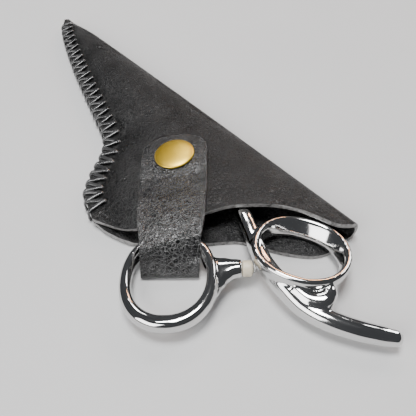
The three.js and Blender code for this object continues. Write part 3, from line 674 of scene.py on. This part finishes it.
# ---- materials ----
class Nodes:
    """A short way to lay out one material's nodes."""

    def __init__(self, name):
        self.mat = bpy.data.materials.new(name)
        self.mat.use_nodes = True
        self.tree = self.mat.node_tree
        self.shader = self.tree.nodes["Principled BSDF"]

    def add(self, kind, inputs=None, **settings):
        node = self.tree.nodes.new(kind)
        for key, value in settings.items():
            setattr(node, key, value)
        for key, value in (inputs or {}).items():
            self.put(node.inputs[key], value)
        return node

    def put(self, socket, value):
        if isinstance(value, bpy.types.NodeSocket):
            self.tree.links.new(value, socket)
        else:
            socket.default_value = value

    def set(self, **values):
        for key, value in values.items():
            self.put(self.shader.inputs[key.replace("_", " ")], value)

    def coords(self, scale=(1, 1, 1), turn=0.0):
        tex = self.add("ShaderNodeTexCoord")
        return self.add("ShaderNodeMapping", {"Vector": tex.outputs["Object"], "Scale": scale,
                                              "Rotation": (0, 0, turn)}).outputs["Vector"]

    def noise(self, vector, scale, detail=4.0, rough=0.55):
        return self.add("ShaderNodeTexNoise", {"Vector": vector, "Scale": scale, "Detail": detail,
                                               "Roughness": rough}).outputs["Fac"]

    def ramp(self, fac, stops):
        node = self.add("ShaderNodeValToRGB", {"Fac": fac})
        ends = node.color_ramp.elements
        while len(ends) < len(stops):
            ends.new(0.5)
        for element, (pos, value) in zip(ends, stops):
            element.position = pos
            element.color = (*value, 1) if isinstance(value, tuple) else (value, value, value, 1)
        return node.outputs["Color"]

    def math(self, op, a, b):
        return self.add("ShaderNodeMath", {0: a, 1: b}, operation=op).outputs[0]

    def bump(self, height, distance, strength=1.0, under=None):
        node = self.add("ShaderNodeBump", {"Height": height, "Distance": distance, "Strength": strength})
        if under is not None:
            self.put(node.inputs["Normal"], under)
        return node.outputs["Normal"]


GRAIN = 860.0                                                       # cells of the leather's grain, per metre
LEATHER_DARK, LEATHER_LIGHT = (0.003, 0.003, 0.0032), (0.008, 0.008, 0.0085)
# pale colour painted along the lines between the grain's cells as a highlight
LEATHER_GRAIN_HIGHLIGHT = (0.035, 0.035, 0.0345, 1)


def leather(name, pebble, shine, coat):
    """Black grained leather, with a painted highlight: pale lines between the cells of its grain, in patches.
    """
    n = Nodes(name)
    v = n.coords()
    warp = n.noise(v, 260, 3)
    drift = n.add("ShaderNodeTexNoise", {"Vector": v, "Scale": 420.0, "Detail": 3.0}).outputs["Color"]
    push = n.add("ShaderNodeVectorMath", {0: drift, "Scale": 0.0018}, operation="SCALE").outputs[0]
    warped = n.add("ShaderNodeVectorMath", {0: v, 1: push}, operation="ADD").outputs[0]
    cells = n.add("ShaderNodeTexVoronoi", {"Vector": warped, "Scale": GRAIN, "Randomness": 1.0},
                  feature="DISTANCE_TO_EDGE").outputs["Distance"]
    small = n.add("ShaderNodeTexVoronoi", {"Vector": warped, "Scale": GRAIN * 2.3, "Randomness": 1.0},
                  feature="DISTANCE_TO_EDGE").outputs["Distance"]
    pebbles = n.math("ADD", n.ramp(cells, [(0.0, 0.0), (0.08, 0.6), (0.4, 1.0)]),
                     n.math("MULTIPLY", n.ramp(small, [(0.0, 0.0), (0.3, 1.0)]), 0.35))
    stretched = n.noise(n.coords((0.22, 1.0, 0.5), 0.12), 420, 5, 0.6)
    fine = n.noise(v, 5200, 4, 0.6)
    tone = n.noise(v, 34, 5, 0.6)
    patches = n.ramp(n.noise(v, 120, 4), [(0.36, 0.15), (0.62, 1.0)])
    # painted highlight: pale lines between the grain's cells, kept to random patches
    grain_highlight = n.math("MULTIPLY", n.ramp(cells, [(0.0, 1.0), (0.06, 0.75), (0.17, 0.0)]), patches)
    dark = n.ramp(tone, [(0.3, LEATHER_DARK), (0.72, LEATHER_LIGHT)])
    tone_with_painted_highlight = n.add("ShaderNodeMix", {0: grain_highlight, 6: dark, 7: LEATHER_GRAIN_HIGHLIGHT}, data_type="RGBA")
    n.set(Base_Color=tone_with_painted_highlight.outputs[2],
          Roughness=n.ramp(n.math("ADD", n.math("MULTIPLY", tone, 0.5), n.math("MULTIPLY", warp, 0.5)),
                           [(0.35, shine[0]), (0.65, shine[1])]))
    n.shader.inputs["Specular IOR Level"].default_value = 0.36
    n.shader.inputs["Coat Weight"].default_value = coat
    n.shader.inputs["Coat Roughness"].default_value = 0.16
    normal = n.bump(fine, 0.00002)
    normal = n.bump(stretched, 0.00012, 0.5, normal)
    n.set(Normal=n.bump(pebbles, pebble, 1.0, normal), Coat_Normal=n.bump(pebbles, pebble * 0.7, 1.0, normal))
    return n.mat


def cut_edge_with_highlight():
    """The burnished cut edge of the leather, coloured pale grey as a painted highlight."""
    n = Nodes("leather_edge_painted_highlight")
    v = n.coords()
    edge_highlight_noise = n.noise(v, 700, 5, 0.65)
    # pale grey base colour: a painted highlight along the cut edge, varied by noise
    n.set(Base_Color=n.ramp(edge_highlight_noise, [(0.35, (0.1, 0.098, 0.096)), (0.7, (0.36, 0.352, 0.345))]),
          Roughness=n.ramp(edge_highlight_noise, [(0.3, 0.22), (0.75, 0.45)]))
    n.shader.inputs["Specular IOR Level"].default_value = 0.7
    n.set(Normal=n.bump(n.noise(v, 2400, 3, 0.6), 0.00003, 0.6))
    return n.mat


def lace_material():
    n = Nodes("lace_leather")
    v = n.coords()
    tone = n.noise(v, 300, 4)
    n.set(Base_Color=n.ramp(tone, [(0.3, (0.014, 0.014, 0.015)), (0.7, (0.045, 0.045, 0.046))]),
          Roughness=n.ramp(tone, [(0.3, 0.2), (0.7, 0.38)]))
    n.shader.inputs["Specular IOR Level"].default_value = 0.8
    n.shader.inputs["Coat Weight"].default_value = 0.8
    n.shader.inputs["Coat Roughness"].default_value = 0.14
    n.set(Normal=n.bump(n.noise(v, 2600, 4, 0.6), 0.00005, 0.7))
    return n.mat


def steel():
    n = Nodes("polished_steel")
    v = n.coords()
    smear = n.noise(n.coords((1.0, 0.35, 1.0)), 90, 5, 0.6)
    scratch = n.noise(n.coords((6.0, 0.4, 2.0), 0.2), 900, 4, 0.7)
    n.set(Base_Color=n.ramp(smear, [(0.25, (0.60, 0.595, 0.59)), (0.75, (0.72, 0.715, 0.71))]),
          Roughness=n.ramp(n.math("ADD", n.math("MULTIPLY", smear, 0.7), n.math("MULTIPLY", scratch, 0.3)),
                           [(0.3, 0.05), (0.72, 0.14)]))
    n.shader.inputs["Metallic"].default_value = 1.0
    n.set(Normal=n.bump(n.noise(v, 420, 3), 0.000012, 0.5))
    return n.mat


def brass():
    n = Nodes("snap_brass")
    v = n.coords()
    cloud, fine = n.noise(v, 160, 4), n.noise(n.coords((3.0, 0.5, 1.0), 0.6), 1500, 4, 0.7)
    n.set(Base_Color=n.ramp(cloud, [(0.3, (0.80, 0.52, 0.05)), (0.7, (0.90, 0.62, 0.09))]),
          Roughness=n.ramp(fine, [(0.3, 0.34), (0.7, 0.5)]))
    n.shader.inputs["Metallic"].default_value = 1.0
    n.set(Normal=n.bump(fine, 0.00001, 0.5))
    return n.mat


def nylon():
    n = Nodes("bumper_nylon")
    v = n.coords()
    tone = n.noise(v, 500, 4)
    n.set(Base_Color=n.ramp(tone, [(0.3, (0.62, 0.54, 0.4)), (0.7, (0.76, 0.69, 0.55))]),
          Roughness=n.ramp(tone, [(0.3, 0.32), (0.7, 0.46)]))
    n.shader.inputs["Subsurface Weight"].default_value = 0.15
    n.shader.inputs["Subsurface Radius"].default_value = (0.001, 0.0008, 0.0006)
    n.set(Normal=n.bump(n.noise(v, 1800, 3), 0.00002, 0.5))
    return n.mat


def clear_tip():
    n = Nodes("tip_clear")
    v = n.coords()
    tone = n.noise(v, 700, 3)
    n.set(Base_Color=n.ramp(tone, [(0.3, (0.8, 0.8, 0.79)), (0.7, (0.9, 0.9, 0.9))]),
          Roughness=n.ramp(tone, [(0.3, 0.06), (0.7, 0.14)]))
    n.shader.inputs["Transmission Weight"].default_value = 0.7
    n.shader.inputs["IOR"].default_value = 1.5
    return n.mat


def floor_material():
    n = Nodes("studio_floor")
    tone = n.noise(n.coords(), 6, 3)
    n.set(Base_Color=n.ramp(tone, [(0.3, (0.60, 0.60, 0.605)), (0.7, (0.64, 0.64, 0.64))]))
    n.shader.inputs["Roughness"].default_value = 0.85
    return n.mat


def give(obj, material):
    obj.data.materials.clear()
    obj.data.materials.append(material)


# ---- put it together ----
BLACK, CUT_EDGE_HIGHLIGHT = leather("holster_leather", 0.00016, (0.26, 0.4), 0.0), cut_edge_with_highlight()
STRAP_BLACK = leather("strap_leather", 0.00017, (0.2, 0.3), 0.8)
LACE, STEEL, BRASS, NYLON, CLEAR = lace_material(), steel(), brass(), nylon(), clear_tip()

# how it is made, its body (none for the strap, which is left unattached in place), the CAD nodes it replaces,
# its slot, its material
PIECES = [
    (make_sheath, "holster", ["sheath_leather"], "holster_leather", None),
    (make_lacing, "holster", ["edge_lacing"], "lace_leather", LACE),
    (make_strap, None, ["strap_tab", "holster_strap"], "holster_leather", None),
    (make_cap, "strap", ["snap_cap"], "snap_brass", BRASS),
    (lambda: blade("finger_blade", -1, LOW_TOP, -1), "finger_half", [], "polished_steel", STEEL),
    (make_finger_handle, "finger_half", ["finger_forging"], "polished_steel", STEEL),
    (lambda: blade("thumb_blade", 1, HIGH_BOTTOM, 1), "thumb_half", [], "polished_steel", STEEL),
    (make_thumb_handle, "thumb_half", ["thumb_forging"], "polished_steel", STEEL),
    (make_bumper, "thumb_half", ["bumper"], "bumper_nylon", NYLON),
    (make_tip, "thumb_half", ["bumper_tip"], "tip_clear", CLEAR),
]
for make, body, nodes, slot, material in PIECES:
    piece = make()
    if material:
        give(piece, material)
    if body:
        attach(piece, body)
    else:
        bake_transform(piece)
    if nodes:
        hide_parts(*nodes)

# CAD pieces that stay as they are
for node, material in {"tab_rivet_left": BRASS, "tab_rivet_right": BRASS, "snap_stud": BRASS,
                       "snap_socket": BRASS, "pivot_pin": STEEL, "tension_dial": STEEL,
                       "pivot_washer": NYLON}.items():
    for s in frame["nodes"][node].material_slots:
        s.material = material


# ---- stage ----
def make_floor():
    reach = 4.0
    corners = [(-reach, -reach, 0), (reach, -reach, 0), (reach, reach, 0), (-reach, reach, 0)]
    mesh = bpy.data.meshes.new("studio_floor")
    mesh.from_pydata(corners, [], [(0, 1, 2, 3)])
    floor = bpy.data.objects.new("studio_floor", mesh)
    bpy.context.scene.collection.objects.link(floor)
    give(floor, floor_material())


def area_light(name, at, aim, size, power, colour=(1, 1, 1)):
    data = bpy.data.lights.new(name, "AREA")
    data.shape, data.size, data.size_y, data.energy, data.color = "RECTANGLE", size[0], size[1], power, colour
    obj = bpy.data.objects.new(name, data)
    bpy.context.scene.collection.objects.link(obj)
    obj.location = at
    obj.rotation_euler = (Vector(aim) - Vector(at)).to_track_quat("-Z", "Y").to_euler()


def make_lights():
    world = bpy.data.worlds.new("studio")
    bpy.context.scene.world = world
    world.use_nodes = True
    back = world.node_tree.nodes["Background"]
    back.inputs["Color"].default_value = (0.72, 0.75, 0.8, 1)
    back.inputs["Strength"].default_value = 0.1
    area_light("overhead", (-0.02, 0.05, 0.85), (0, -0.03, 0), (0.36, 0.3), 9.0)
    area_light("far_side", (0.3, 0.6, 0.7), (0, 0, 0), (0.16, 0.12), 1.3)
    area_light("left", (-0.62, -0.2, 0.42), (0, -0.04, 0), (0.5, 0.5), 5.0)
    area_light("right", (0.75, 0.15, 0.46), (0, 0, 0), (0.16, 0.36), 1.8)
    area_light("warm", (0.5, 0.36, 0.42), (0, -0.05, 0), (0.16, 0.12), 0.7, (1.0, 0.55, 0.32))


def make_camera():
    data = bpy.data.cameras.new("camera")
    data.sensor_width, data.lens = SENSOR_MM, SENSOR_MM * FOCAL / PICTURE_WIDTH
    data.clip_start = 0.01
    cam = bpy.data.objects.new("camera", data)
    bpy.context.scene.collection.objects.link(cam)
    cam.location = row_frame(CAMERA_AT)
    cam.rotation_euler = Vector(CAMERA_LOOK).to_track_quat("-Z", "Y").to_euler()
    bpy.context.scene.camera = cam


make_floor()
make_lights()
make_camera()
